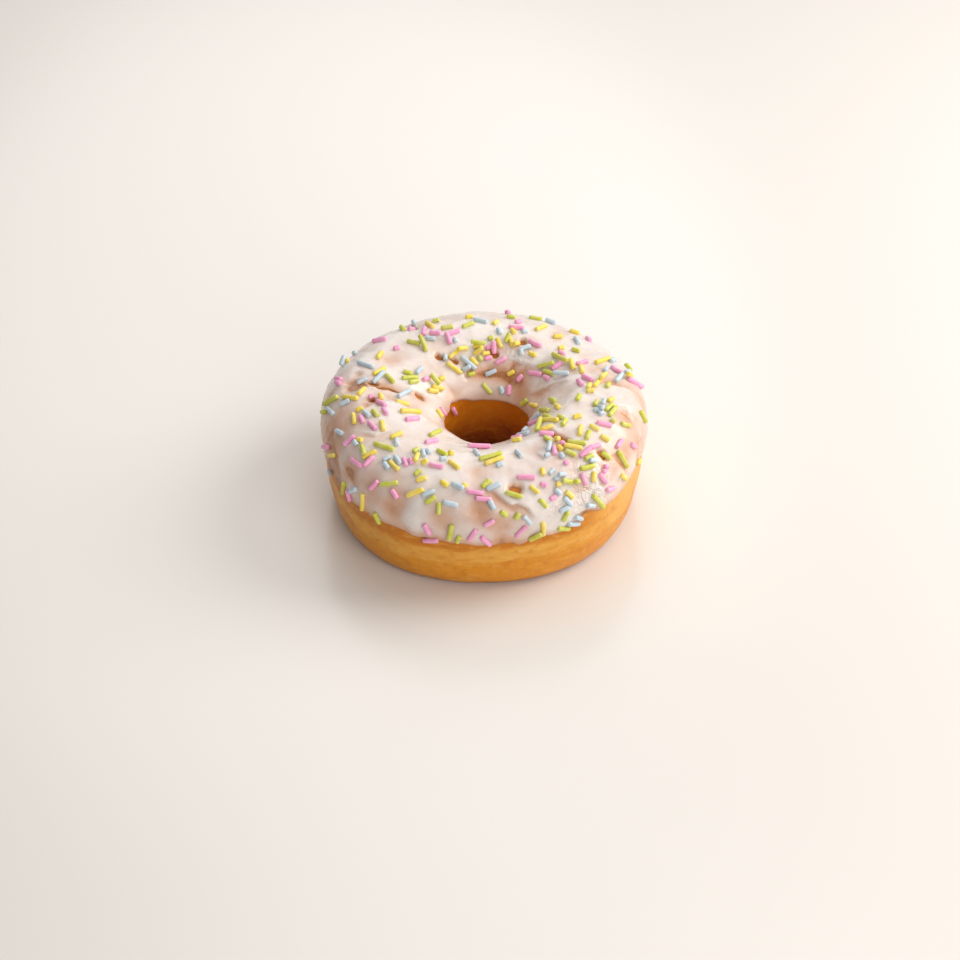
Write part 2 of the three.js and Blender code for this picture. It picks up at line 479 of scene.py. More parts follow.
# Soft hollows of the outside and of the hole's wall:
# turn and half width in degrees, level, half height and depth in mm
SIDE_HOLLOWS = (
    # Those from -172 to -120 degrees, on the side away from the key light, thin the icing to tan: thin icing
    # and painted shade
    (-172, 12, 25, 6, 0.75), (-156, 8, 23, 6, 0.75), (-141.5, 4.5, 25.8, 2.3, 0.65), (-150, 9, 21, 4.5, 0.8),
    (-131, 7, 25, 5, 0.5), (-120, 5, 24, 5, 0.8), (-113, 3, 23, 5, -0.35), (-104, 5, 24, 4, 0.45),
    (-92, 4.5, 26, 3.2, 0.65), (-85, 6, 22.5, 5, 0.7), (-78, 4, 25, 2.4, 0.5), (-84.5, 3.0, 18.2, 1.6, 0.25),
    (-71, 4, 23, 3.5, -0.3), (-56, 3, 20.7, 1.2, 0.7), (-35, 5, 25, 4, 0.45), (-18, 12, 25, 6, 0.55),
    (2, 10, 27, 5, 0.45),
)
HOLE_HOLLOWS = (
    (88, 20, 28.2, 1.5, 0.9), (62, 14, 27.2, 2, 0.7), (44, 13, 26.3, 3, 0.55), (135, 14, 25.5, 2, 0.45),
    (25, 12, 28, 2, 0.4),
)

# Folds of the skin, raised on the right of their line and sunk on its left: width of the step,
# height of the crest and depth of the groove in mm, and then the line. On the top it runs
# through x and y in mm, and on the outside through turn in degrees and level in mm.
TOP_FOLDS = (
    (1.4, 0.3, 0.5, ((-38.5, 4.8), (-35.0, 3.4), (-32.5, 0.9), (-27.1, 0.4), (-23.1, -0.9), (-19.5, -0.6))),
    (1.8, 0.6, 0.25, ((-27.0, -6.0), (-20.0, -7.5), (-15.0, -9.5))),
    (1.6, 0.2, 0.3, ((-24.0, -18.9), (-27.7, -20.5), (-32.2, -18.2))),
    (1.2, 0.3, 0.25, ((22.9, 4.8), (19.0, 6.8), (16.4, 6.9), (12.1, 7.9))),
    (1.3, 0.35, 0.35, ((15.0, 14.0), (10.5, 16.5), (6.5, 18.2))),
    (2.0, 0.25, 0.15, ((-4.7, 13.4), (-6.8, 11.6), (-8.4, 9.4))),
    (1.0, 0.35, 0.3, ((29.9, 0.4), (32.5, 2.0), (34.8, 1.5), (38.7, 1.7))),
    (0.8, 0.25, 0.2, ((15.2, -30.5), (14.6, -28.8), (13.2, -27.6))),
)
SIDE_FOLDS = (
    (0.6, 0.34, 0.6, ((-73.7, 24.0), (-75.8, 26.3), (-78.8, 27.3), (-80.8, 27.1), (-83.2, 27.9),
                      (-86.2, 28.9), (-89.5, 29.4))),
    (1.2, 0.2, 0.3, ((-147, 26.4), (-144.6, 25.7), (-140.3, 24.5), (-135.8, 23.3))),
    (1.2, 0.35, 0.15, ((-38, 29.5), (-34, 24))),
)
SIDE_MM_PER_DEGREE = 0.77

# Where the skin dried crumpled: x, y and radius in mm and how strongly, and for the outside
# turn and half width in degrees, level and half height in mm and how strongly
TOP_CRUMPLES = (
    (-32, 0, 6, 0.5), (33, -2, 6, 0.4), (36, -8, 4, 0.4), (9.5, 17, 5, 0.6), (-24, -6, 6, 0.6),
    (16, 7, 5, 0.5), (36, 10, 6, 0.4),
)
SIDE_CRUMPLES = (
    (-52, 11, 25.5, 6, 1.0), (-66, 4, 25, 2.5, 0.7), (-168, 14, 26, 4, 0.3), (-80, 4, 20, 2.5, 0.5),
    (150, 40, 27, 5, 0.25), (60, 60, 25, 6, 0.3),
)

# Drips of the outer edge and of the hole's: turn in degrees, length, half width in degrees
DRIPS = ((-78, 1.2 * MM, 2.2), (-87, 0.4 * MM, 2), (-112, 0.5 * MM, 3), (-62, 0.3 * MM, 3))
HOLE_DRIPS = ((158, 2.2 * MM, 8), (172, 0.9 * MM, 12), (33, 1.3 * MM, 20))

ROW_STATIONS = np.linspace(0, len(SECTION) - 1, ROW_SAMPLES)
ROW_STEPS = np.diff(section_at(ROW_STATIONS)[0], axis=0)
ROW_LENGTHS = np.append(0, np.cumsum(np.linalg.norm(ROW_STEPS, axis=1)))


def edge_ripple(turn, radius, seed):
    """Small unevenness of an edge of the icing, along a circle of the given radius."""
    circle = np.stack([radius * np.cos(turn), radius * np.sin(turn), 0 * turn], -1)
    return sum(rise * noise_at(circle, size, seed + i) for i, (rise, size) in enumerate(EDGE_RIPPLES))


def icing_edges(turn):
    """Stations of the icing's two edges, on the outside and in the hole."""
    notch = 1 - np.abs(turn_between(turn, EDGE_NOTCH["turn"])) / EDGE_NOTCH["half_width"]
    outer = OUTER_EDGE_LEVEL + wave(OUTER_EDGE_WAVES, turn) + EDGE_NOTCH["rise"] * smooth(notch, 0, 1)
    outer = outer + edge_ripple(turn, 44 * MM, 20)
    hole = HOLE_EDGE_LEVEL + wave(HOLE_EDGE_WAVES, turn) + edge_ripple(turn, 11 * MM, 30)
    outer, hole = outer - dripped(turn, DRIPS), hole - dripped(turn, HOLE_DRIPS)
    return station_at_level(outer, 0, WIDEST + 0.2), station_at_level(hole, TOP, HOLE_WALL)


def dripped(turn, drips):
    return sum(length * np.exp(-((turn_between(turn, middle) / wide) ** 2)) for middle, length, wide in drips)


class IcingSkin:
    """Places of the icing's skin, and the fields that say how it pooled, ran and dried there."""

    def __init__(self, place, turn, station):
        self.place = place
        self.on_top = smooth(place[..., 2], *TOP_STARTS)
        self.on_side = smooth(-station, -TOP - 0.1, -TOP + 0.3)
        self.plan = place[..., :2] / MM
        self.ragged = self.plan + 0.6 * np.stack([noise_at(place, 2.2 * MM, seed) for seed in (44, 45)], -1)
        self.turn = turn

    def near_top(self, x, y, radius):
        """1 at a place of the top, fading out around it."""
        return np.exp(-((np.linalg.norm(self.plan - [x, y], axis=-1) / radius) ** 2)) * self.on_top

    def near_wall(self, middle, half_width, level, half_height):
        """1 at a turn and level of a wall, fading out around it."""
        across = turn_between(self.turn, middle) / half_width
        up = (self.place[..., 2] / MM - level) / half_height
        return np.exp(-(across**2) - up**2)

    def cracks(self):
        """How open the icing is: 1 in a crack, with ragged sides."""
        total = 0
        for *ends, radius in CRACKS:
            gap = np.abs(from_line(self.ragged, np.array(ends).reshape(2, 2))[0]) / radius
            total = total + np.exp(-(gap**2.5)) * self.on_top
        return total

    def hollows(self):
        top = sum(depth * self.near_top(*patch) for *patch, depth in TOP_HOLLOWS)
        side = sum(depth * self.near_wall(*patch) for *patch, depth in SIDE_HOLLOWS)
        hole = sum(depth * self.near_wall(*patch) for *patch, depth in HOLE_HOLLOWS)
        return top + side * self.on_side + hole * (1 - self.on_side)

    def unrolled(self, start):
        """The outside as if rolled out flat from a turn: mm along it and mm up."""
        return np.stack([turn_between(self.turn, start) * SIDE_MM_PER_DEGREE, self.place[..., 2] / MM], -1)

    def fold(self, flat, line, width, crest, groove):
        """A crest on the right of a line and a groove on its left, fading towards its ends."""
        distance, share = from_line(flat, np.array(line, float))
        step = smooth(-distance, -width / 4, width / 4)
        raised = crest * step * np.exp(-((distance / (3 * width)) ** 2))
        sunk = groove * (1 - step) * np.exp(-((distance / (2 * width)) ** 2))
        return (raised - sunk) * np.sqrt(np.sin(np.pi * np.clip(share, 0, 1)))

    def folds(self):
        total = 0
        for *form, line in TOP_FOLDS:
            total = total + self.fold(self.plan, line, *form) * self.on_top
        for *form, line in SIDE_FOLDS:
            start = line[0][0]
            flat_line = [((turn - start) * SIDE_MM_PER_DEGREE, level) for turn, level in line]
            total = total + self.fold(self.unrolled(start), flat_line, *form) * self.on_side
        return total

    def crumpled(self):
        patches = [strength * self.near_top(*patch) for *patch, strength in TOP_CRUMPLES]
        patches += [strength * self.near_wall(*patch) * self.on_side for *patch, strength in SIDE_CRUMPLES]
        return np.max(patches, axis=0)


def from_line(flat, line):
    """Distance from a line through points, positive on its left, and the share of the way along it."""
    distance = np.full(flat.shape[:-1], 1e6)
    share = np.zeros(flat.shape[:-1])
    steps = np.diff(line, axis=0)
    for index, (start, step) in enumerate(zip(line, steps)):
        offset = flat - start
        along = np.clip(offset @ step / (step @ step), 0, 1)
        gap = np.linalg.norm(offset - along[..., None] * step, axis=-1)
        left = np.sign(step[0] * offset[..., 1] - step[1] * offset[..., 0])
        closer = gap < np.abs(distance)
        distance = np.where(closer, gap * left, distance)
        share = np.where(closer, (index + along) / len(steps), share)
    return distance, share


def icing_thickness(skin, from_outer, from_hole, settings):
    """How thick the icing is, from how it pooled, ran and dried."""
    ripples = noise_at(skin.place, RIPPLE_SIZE, 41)
    pools = noise_at(skin.place, POOL_SIZE, 40)
    thickness = settings.thickness + settings.pooling * (pools + 0.5 * ripples)
    wrinkles = 0.5 - 2.5 * np.abs(noise_at(skin.place, WRINKLE_SIZE, 43))
    thickness = thickness + (skin.folds() - skin.hollows()) * MM
    thickness = thickness + settings.crumples * skin.crumpled() * wrinkles
    thickness = np.maximum(thickness, LEFT_IN_HOLLOWS)
    thickness = thickness - CRACK_DEPTH * skin.cracks()
    thickness = np.maximum(thickness, THINNEST)
    thickness = thickness * (0.6 + 0.4 * smooth(from_outer, 0, THIN_EDGE))
    distance = np.minimum(from_outer, from_hole)
    roundness = np.sqrt(1 - (1 - np.clip(distance / EDGE_WIDTH, 0, 1)) ** 2)
    return np.where(thickness > 0, thickness * roundness, thickness)


def icing_finish(settings):
    """Set glaze: cream where it is thick, tan where the dough shows through."""
    glaze = Finish("set_glaze")
    cover = glaze.attribute("cover")
    crumple = glaze.attribute("crumple")
    mottle = glaze.noise(6 * MM, 4) - 0.5
    ragged = glaze.noise(1.1 * MM, 4) - 0.5
    swirl = glaze.noise(2.6 * MM, 1, distortion=2) - 0.5
    creases = glaze.clamped(1 - glaze.math("ABSOLUTE", swirl, 0) * 6) * crumple * crumple
    # the crumples' crests are painted whiter, as their highlights, on a more tan ground
    opacity = glaze.clamped(cover + mottle * 0.5 + creases * 0.5 - crumple * 0.2)
    covered = glaze.steps(cover + ragged * 0.2, 0.02, 0.2)
    # the dough at the bottom of a pit is painted darker than the crust: its own colour and painted shade
    colour = glaze.layered(settings.pit_dough_and_shade, (covered, settings.thin), (opacity, settings.cream))
    roughness = 0.27 + mottle * 0.25 - crumple * 0.17
    waves = glaze.noise(4 * MM, 3) * 0.5 + creases * 1.2
    bumps = glaze.bumps((waves, 0.3 * MM), (glaze.noise(0.5 * MM, 3), 0.03 * MM))
    return glaze.shade(
        base_color=colour, roughness=roughness, normal=bumps, subsurface_weight=0.35,
        subsurface_radius=(1.0, 0.6, 0.4), subsurface_scale=1.6 * MM)


def make_icing(settings, lumps):
    turn = turns_around(ICING_TURNS)
    outer_edge, hole_edge = icing_edges(turn)
    start = np.interp(outer_edge, ROW_STATIONS, ROW_LENGTHS)
    end = np.interp(hole_edge, ROW_STATIONS, ROW_LENGTHS)
    share = np.linspace(0, 1, ICING_ROWS)[None, :]
    share = share - ROW_CROWDING * np.sin(2 * math.pi * share) / (2 * math.pi)
    length = start + (end - start) * share
    station = np.interp(length, ROW_LENGTHS, ROW_STATIONS)
    turn = turn + 0 * station
    skin = IcingSkin(place_on_ring(section_at(station)[0], turn), turn, station)
    thickness = icing_thickness(skin, length - start, end - length, settings)
    proud = dough_lumps(turn, station, lumps)
    outside = raised_on_ring(turn, station, proud + thickness)
    under = np.linspace(ICING_ROWS - 1, 0, UNDERSIDE_ROWS).round().astype(int)
    underside = raised_on_ring(turn[:, under], station[:, under], proud[:, under] - ICING_SINK)
    edge = smooth(length - start, 0.2 * MM, 2.8 * MM) * (0.3 + 0.7 * smooth(end - length, 0, 8 * MM))
    cover = smooth(thickness, 0, HIDES_DOUGH) * (0.4 + 0.6 * edge)
    fields = {"cover": cover, "crumple": skin.crumpled()}
    fields = {name: np.concatenate([field, field[:, under]], 1) for name, field in fields.items()}
    points = np.concatenate([outside, underside], 1) + ring_shift()
    piece = add_piece("icing_cap", ring_mesh("icing_cap", points, fields), icing_finish(settings))
    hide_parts("icing")


# ---------------------------------------------------------------- sugar strands

SIDES = 14
CAP = ((0.0, 0.0), (0.0, 0.55), (0.14, 0.86), (0.42, 1.0))  # along and across, in radii
SUNK = 0.62  # height of a strand's middle above the icing, in radii
MAY_SINK = 0.25  # how much deeper its middle may lie where the icing bulges, in radii
TOUCH = 0.8  # how close two strands' middles may come, in thicknesses
MAX_LIFT = 2.6 * MM
LIFT_STEP = 0.2 * MM
REACH = 8 * MM  # strands farther off than this can't touch
LOOK_DOWN_FROM = 60 * MM  # lines of sight start at this level for the top,
LOOK_IN_FROM = 80  # and this many mm from the middle for the outside
LINE_POINTS = 9  # points that stand for a strand when gaps are measured
UNDER_POINTS = (0.2, 0.35, 0.5, 0.65, 0.8)  # where along a strand the icing is felt for
UNEVEN = 0.06  # how much strands differ in thickness, and each one along itself
BEND = 0.2  # how far a strand may bow, in radii
SWELLS_AT = 0.3  # where along each half a strand is thickest
HALF_STREWN = (1.4, 3)  # half the length of a strewn strand in mm, from and to
CLUMP_SIZE = 9 * MM
EDGE_ROWS = (4, 6)  # rows next to the outer edge and to the hole's without strewn strands

# Strewn strands lie on faces turned from the viewer: the dot product of their normal and the
# viewer's direction is below the first limit, or in the hole below the second
VIEWER = Vector((0, -0.8, 0.6))
FACING_AWAY = -0.32
HOLE_FACING_AWAY = -0.5

# Strands placed on the top, by the x and y of their two ends, in mm
TOP_STRANDS = {
    "pink": (
        (-34.1, -25.4, -31.2, -28.9), (-30.4, -29.4, -28.1, -27.7), (-15.0, -23.3, -11.8, -20.6),
        (-13.8, -31.9, -10.3, -32.8), (-20.5, -29.3, -19.7, -31.9), (-19.0, -29.7, -18.2, -31.4),
        (-4.4, -39.9, -0.1, -40.5), (-2.1, -41.6, 1.9, -41.9), (-4.2, -21.2, 1.8, -21.2),
        (17.8, -26.0, 18.0, -28.8), (19.5, -24.6, 20.6, -25.2), (20.3, -31.6, 21.4, -31.2),
        (16.6, -41.1, 18.2, -40.1), (14.2, -38.0, 15.8, -38.2), (8.3, -36.0, 12.9, -36.3),
        (34.2, -22.8, 35.6, -19.8), (27.2, -25.9, 29.8, -24.2), (24.4, -29.0, 27.0, -26.4),
        (30.7, -29.4, 31.8, -28.8), (29.4, -31.7, 31.3, -32.0), (24.7, -33.5, 25.7, -35.4),
        (-30.2, -4.9, -28.9, -4.2), (-28.0, -6.8, -25.5, -9.9), (-26.3, -10.8, -25.0, -13.2),
        (-32.1, -12.8, -31.2, -15.5), (-29.8, -15.8, -27.9, -18.8), (-36.1, -20.6, -33.3, -19.7),
        (-20.2, -14.5, -16.8, -11.6), (14.1, -20.3, 17.9, -20.4), (29.1, -17.0, 33.1, -16.9),
        (38.2, -18.4, 39.5, -16.9), (30.0, -31.1, 31.0, -30.2), (-24.4, 18.6, -22.8, 19.3),
        (-39.8, 9.2, -38.0, 6.6), (-39.4, 6.2, -38.2, 3.9), (-16.1, 7.6, -14.6, 9.3),
        (-10.6, 24.2, -6.6, 26.2), (-10.2, 24.2, -9.1, 21.0), (0.6, 20.6, 2.0, 21.2),
        (2.9, 22.3, 2.9, 19.9), (0.3, 17.7, 2.2, 18.4), (3.2, 16.9, 6.0, 17.8),
        (12.4, 22.9, 15.6, 20.2), (9.0, 12.3, 10.5, 13.1), (12.1, 13.0, 15.6, 10.8),
        (18.2, 11.2, 21.0, 12.8), (16.2, 9.7, 17.5, 8.2), (20.4, 17.6, 21.7, 15.8),
        (24.9, 11.2, 28.0, 13.1), (34.3, 11.4, 36.9, 8.7), (38.4, 6.4, 42.6, 9.6),
        (26.2, 5.1, 28.8, 2.0), (24.9, 3.2, 25.9, 0.4), (-30.4, 25.5, -26.6, 24.5),
        (11.9, -7.5, 14.8, -10.5), (7.3, -16.5, 9.7, -18.4), (-20.6, 28.6, -19.0, 29.8),
        (-16.1, 28.6, -16.4, 24.8), (-14.8, 25.8, -11.8, 25.2), (6.4, 40.6, 7.2, 38.8),
        (8.7, 31.2, 10.4, 32.2), (6.8, 28.4, 11.0, 27.8), (28.2, 27.5, 29.2, 25.5),
    ),
    "yellow": (
        (-31.0, -27.2, -27.5, -26.2), (-32.6, -21.0, -31.3, -22.0), (-24.0, -29.8, -21.6, -32.7),
        (-16.7, -28.2, -17.4, -31.2), (-15.9, -31.3, -14.2, -31.3), (-8.7, -26.3, -8.0, -27.8),
        (-8.9, -30.6, -6.3, -33.3), (-17.1, -36.4, -14.5, -36.0), (-19.5, -39.3, -15.2, -39.1),
        (-10.8, -37.2, -9.0, -38.7), (-5.3, -38.3, -4.4, -38.9), (0.2, -31.2, 4.9, -28.9),
        (7.2, -19.9, 9.6, -20.6), (18.3, -22.9, 19.2, -24.2), (18.9, -25.8, 20.0, -27.2),
        (20.4, -26.1, 25.0, -26.7), (14.7, -33.6, 14.9, -35.6), (18.2, -37.8, 19.4, -37.5),
        (11.6, -38.7, 13.8, -40.2), (30.0, -21.4, 32.2, -22.0), (28.0, -32.0, 27.9, -34.1),
        (-37.2, -2.6, -33.1, -5.2), (-33.0, -3.6, -31.3, -0.7), (-27.2, -3.8, -26.8, -6.3),
        (-33.3, -10.2, -31.6, -9.6), (-34.1, -11.0, -33.5, -15.0), (-26.5, -15.9, -25.9, -19.4),
        (-23.0, -6.1, -19.5, -5.5), (-21.7, -11.2, -16.5, -8.5), (-24.0, -21.8, -21.0, -19.8),
        (-12.4, -0.5, -10.9, -2.2), (18.7, -5.2, 19.6, -8.4), (15.2, -12.2, 19.2, -15.8),
        (14.5, -18.6, 17.9, -17.6), (23.0, -15.0, 25.3, -14.4), (27.0, -3.2, 29.0, -3.0),
        (27.3, -2.2, 28.0, 0.4), (29.1, -0.8, 30.8, 3.0), (32.4, -7.3, 34.0, -5.6),
        (27.3, -18.4, 29.6, -19.7), (25.0, -18.7, 24.5, -22.3), (-28.6, 14.2, -27.5, 17.2),
        (-29.4, 5.7, -26.4, 9.1), (-37.6, 19.0, -36.8, 16.5), (-9.3, 16.9, -7.0, 19.0),
        (-7.2, 18.9, -4.4, 20.1), (-2.8, 20.9, -0.2, 20.4), (-2.7, 18.7, -0.5, 19.8),
        (-3.5, 17.6, -1.7, 16.4), (-0.5, 18.9, 1.6, 19.9), (-9.9, 15.2, -5.9, 13.5),
        (-12.0, 10.2, -10.6, 11.3), (-13.8, 7.2, -10.8, 8.3), (-14.8, 5.1, -12.2, 6.7),
        (3.6, 23.5, 4.8, 20.8), (6.9, 24.0, 8.0, 20.8), (8.2, 20.6, 9.6, 22.0),
        (12.3, 18.3, 14.1, 16.9), (6.4, 14.4, 8.3, 14.8), (20.2, 19.0, 21.8, 19.9),
        (23.4, 13.5, 24.0, 9.2), (26.0, 10.4, 26.2, 6.8), (30.0, 12.3, 34.0, 16.2),
        (37.6, 6.5, 39.6, 9.9), (30.6, 1.9, 32.6, 6.5), (12.4, 4.1, 14.1, 1.2),
        (-15.8, 32.0, -13.8, 28.2), (-5.0, 33.4, -3.0, 34.0), (3.9, 31.3, 2.6, 29.4),
        (7.5, 27.2, 8.5, 25.2), (14.3, 27.6, 17.3, 30.5), (19.0, 25.4, 21.6, 26.0),
        (23.8, 30.6, 26.4, 29.6),
    ),
    "green": (
        (-31.4, -23.5, -30.2, -26.9), (-28.1, -23.5, -23.0, -26.4), (-26.4, -35.0, -21.8, -35.9),
        (-18.0, -27.7, -16.8, -26.2), (-11.9, -26.3, -9.3, -28.5), (-17.6, -34.7, -15.9, -33.7),
        (-14.7, -41.9, -12.1, -41.0), (-0.5, -38.9, 1.6, -37.0), (-1.2, -29.6, 4.6, -27.2),
        (15.5, -22.0, 17.2, -24.5), (21.3, -24.2, 26.0, -25.2), (20.6, -27.8, 23.3, -28.8),
        (19.5, -36.8, 22.5, -36.0), (22.5, -36.0, 24.0, -35.3), (5.4, -40.6, 9.6, -41.6),
        (34.3, -23.6, 37.1, -23.8), (30.0, -25.6, 32.4, -26.6), (25.7, -29.7, 27.7, -27.8),
        (24.4, -32.4, 28.2, -30.3), (-42.4, 0.2, -38.4, -2.0), (-43.0, -0.9, -41.8, -3.6),
        (-28.9, -11.4, -27.5, -13.8), (-13.9, -19.2, -11.2, -13.6), (17.5, -0.4, 18.8, -3.3),
        (15.0, -2.8, 17.0, -7.2), (15.8, -8.4, 17.0, -12.5), (15.1, -12.8, 13.5, -18.0),
        (19.3, -13.2, 20.5, -14.8), (20.2, -18.2, 21.3, -15.6), (24.3, -7.0, 25.1, -4.5),
        (32.4, -1.2, 33.2, 1.0), (28.8, -9.9, 29.6, -7.7), (31.7, -11.5, 33.7, -8.2),
        (32.5, -13.7, 34.6, -9.0), (32.9, -14.8, 34.0, -15.4), (35.6, -14.8, 38.0, -13.4),
        (27.0, -20.5, 26.2, -23.4), (41.3, -4.6, 42.9, -5.4), (-26.0, 5.7, -23.9, 2.8),
        (-20.8, 22.2, -17.2, 20.8), (-17.4, 22.5, -15.5, 17.8), (-3.6, 21.5, 0.4, 21.2),
        (-1.3, 18.3, -0.6, 17.2), (-4.3, 13.9, -2.5, 14.9), (-21.5, 8.5, -19.0, 8.1),
        (-21.7, 5.4, -17.6, 7.7), (-19.8, 4.5, -17.5, 6.4), (-14.7, 9.9, -12.2, 8.3),
        (1.2, 23.3, 2.5, 23.9), (5.8, 22.2, 7.0, 24.2), (14.5, 13.5, 19.1, 12.6),
        (16.0, 11.8, 18.8, 9.0), (18.6, 16.6, 22.6, 12.1), (23.9, 18.9, 26.0, 17.8),
        (38.5, 17.0, 39.8, 14.3), (-22.8, 33.3, -21.9, 28.6), (-14.0, 32.6, -12.2, 32.6),
        (-11.7, 27.4, -8.4, 28.0), (-5.8, 27.6, -2.7, 29.6), (6.4, 35.2, 8.8, 34.8),
        (12.6, 36.0, 16.2, 35.4),
    ),
    "blue": (
        (-33.2, -21.5, -32.5, -22.9), (-22.4, -22.2, -22.2, -25.0), (-25.7, -29.3, -23.8, -28.4),
        (-25.4, -30.2, -24.2, -31.9), (-22.7, -28.5, -21.2, -31.1), (-15.7, -26.6, -15.3, -29.2),
        (-14.5, -26.5, -13.6, -28.0), (-11.2, -30.2, -9.5, -29.6), (-15.5, -40.4, -12.4, -39.6),
        (-10.2, -42.3, -6.6, -43.2), (-8.1, -38.0, -5.1, -39.7), (-2.4, -24.5, -1.4, -27.8),
        (3.1, -31.9, 4.8, -31.3), (8.1, -26.3, 9.6, -28.9), (16.9, -25.0, 16.2, -27.6),
        (15.4, -29.6, 16.6, -28.8), (19.4, -28.3, 20.2, -29.8), (16.5, -35.2, 17.8, -33.8),
        (17.6, -36.6, 18.8, -35.8), (18.6, -35.9, 20.6, -34.9), (17.8, -38.9, 19.3, -39.6),
        (0.6, -39.4, 4.2, -38.3), (1.4, -42.3, 2.6, -44.0), (26.6, -29.9, 28.5, -29.2),
        (-37.8, -5.8, -35.2, -5.2), (-31.3, -11.3, -29.6, -13.7), (-38.5, -13.7, -36.6, -16.6),
        (-41.4, -2.9, -39.5, -7.5), (-22.5, -3.7, -19.3, 1.8), (12.3, -4.5, 14.7, -5.2),
        (10.2, -13.0, 11.3, -11.0), (8.6, -15.6, 11.6, -17.6), (30.9, -9.0, 31.5, -7.5),
        (28.4, -11.8, 30.5, -12.5), (29.8, -10.4, 30.6, -13.0), (29.9, -13.9, 31.0, -12.6),
        (-33.9, 13.3, -29.5, 9.5), (-29.4, 2.9, -26.5, 6.7), (-33.6, 3.0, -31.0, 4.2),
        (-15.7, 23.5, -13.2, 22.8), (-8.0, 23.0, -7.6, 21.5), (-6.1, 17.6, -2.2, 15.4),
        (-5.7, 14.5, -4.0, 15.6), (-10.4, 17.6, -10.0, 16.0), (-18.1, 8.5, -16.5, 12.0),
        (0.4, 14.9, 3.4, 15.7), (9.8, 19.6, 12.8, 20.7), (9.9, 19.2, 10.1, 17.8),
        (18.9, 8.5, 22.7, 7.6), (25.0, 25.8, 25.9, 22.4), (34.4, 14.0, 35.4, 16.7),
        (32.4, 8.0, 33.1, 10.2), (35.0, 3.8, 37.0, 7.8), (38.1, 10.3, 39.2, 12.2),
        (-19.6, 36.5, -19.1, 33.0), (-2.8, 31.8, 1.0, 30.0), (10.4, 26.0, 12.0, 26.8),
        (3.9, 27.2, 4.6, 24.9), (17.2, 35.4, 20.0, 33.8), (-35.6, 22.4, -34.8, 21.0),
        (-38.6, 15.6, -36.9, 17.4),
    ),
}

# Strands placed down the outside, by the turn in degrees and level in mm of their ends
SIDE_STRANDS = {
    "pink": (
        (-165.5, 22.8, -160.0, 25.2), (-140.6, 21.8, -140.1, 18.4), (-130.2, 26.1, -128.2, 28.6),
        (-122.3, 28.0, -119.4, 26.6), (-109.0, 22.3, -107.1, 19.0), (-110.0, 15.9, -104.8, 17.2),
        (-94.8, 18.5, -92.3, 22.0), (-90.9, 19.8, -87.8, 16.8), (-90.0, 23.0, -86.7, 24.4),
        (-79.8, 19.0, -76.7, 22.1), (-46.4, 24.8, -42.2, 23.8),
    ),
    "yellow": (
        (-158.2, 23.7, -153.6, 25.9), (-133.4, 18.5, -132.8, 24.0), (-71.3, 22.8, -70.8, 18.2),
        (-61.9, 28.6, -59.9, 26.8), (-38.0, 25.6, -34.4, 22.6), (-20.2, 21.7, -22.6, 21.3),
    ),
    "green": (
        (-145.2, 18.2, -142.9, 22.9), (-127.4, 20.2, -126.1, 16.9), (-105.0, 27.9, -104.6, 25.3),
        (-100.2, 22.9, -101.1, 18.2), (-97.6, 19.9, -98.5, 17.6), (-84.5, 26.6, -82.6, 25.2),
        (-80.0, 24.3, -78.6, 25.8), (-75.4, 17.4, -71.8, 19.7), (-71.5, 28.4, -69.6, 26.5),
        (-64.5, 21.6, -62.3, 24.1), (-66.0, 19.5, -61.6, 18.0), (-52.7, 25.7, -48.0, 20.2),
    ),
    "blue": (
        (-138.9, 22.3, -136.1, 24.1), (-161.4, 17.4, -159.2, 16.7), (-77.3, 25.1, -75.1, 22.6),
        (-63.1, 27.6, -61.0, 25.1), (-65.5, 24.6, -62.3, 25.2), (-59.8, 21.3, -56.7, 19.4),
        (-62.4, 20.1, -57.4, 18.0), (-55.5, 23.7, -52.2, 22.3),
    ),
}

# Strands placed in the hole, by turn and level too
HOLE_STRANDS = {
    "pink": ((63.7, 26.8, 60.1, 24.9), (139.5, 22.3, 133.3, 19.5), (172.0, 26.5, 170.0, 24.0)),
    "green": ((94.8, 26.9, 83.8, 24.6), (36.5, 23.9, 31.0, 26.0)),
    "blue": ((73.4, 26.4, 68.0, 24.8),),
}


def from_above(x, y):
    """A line of sight down onto a place of the top."""
    return Vector((x * MM, y * MM, LOOK_DOWN_FROM)), Vector((0, 0, -1))


def towards(turn):
    return Vector((math.cos(math.radians(turn)), math.sin(math.radians(turn)), 0))


def from_outside(turn, level):
    """A line of sight in towards a place of the outside."""
    inward = -towards(turn)
    return Vector((0, 0, level * MM)) - inward * LOOK_IN_FROM * MM, inward


def from_the_hole(turn, level):
    """A line of sight from the middle of the hole out to a place of its wall."""
    return Vector((*HOLE_SHIFT, level * MM)), towards(turn)


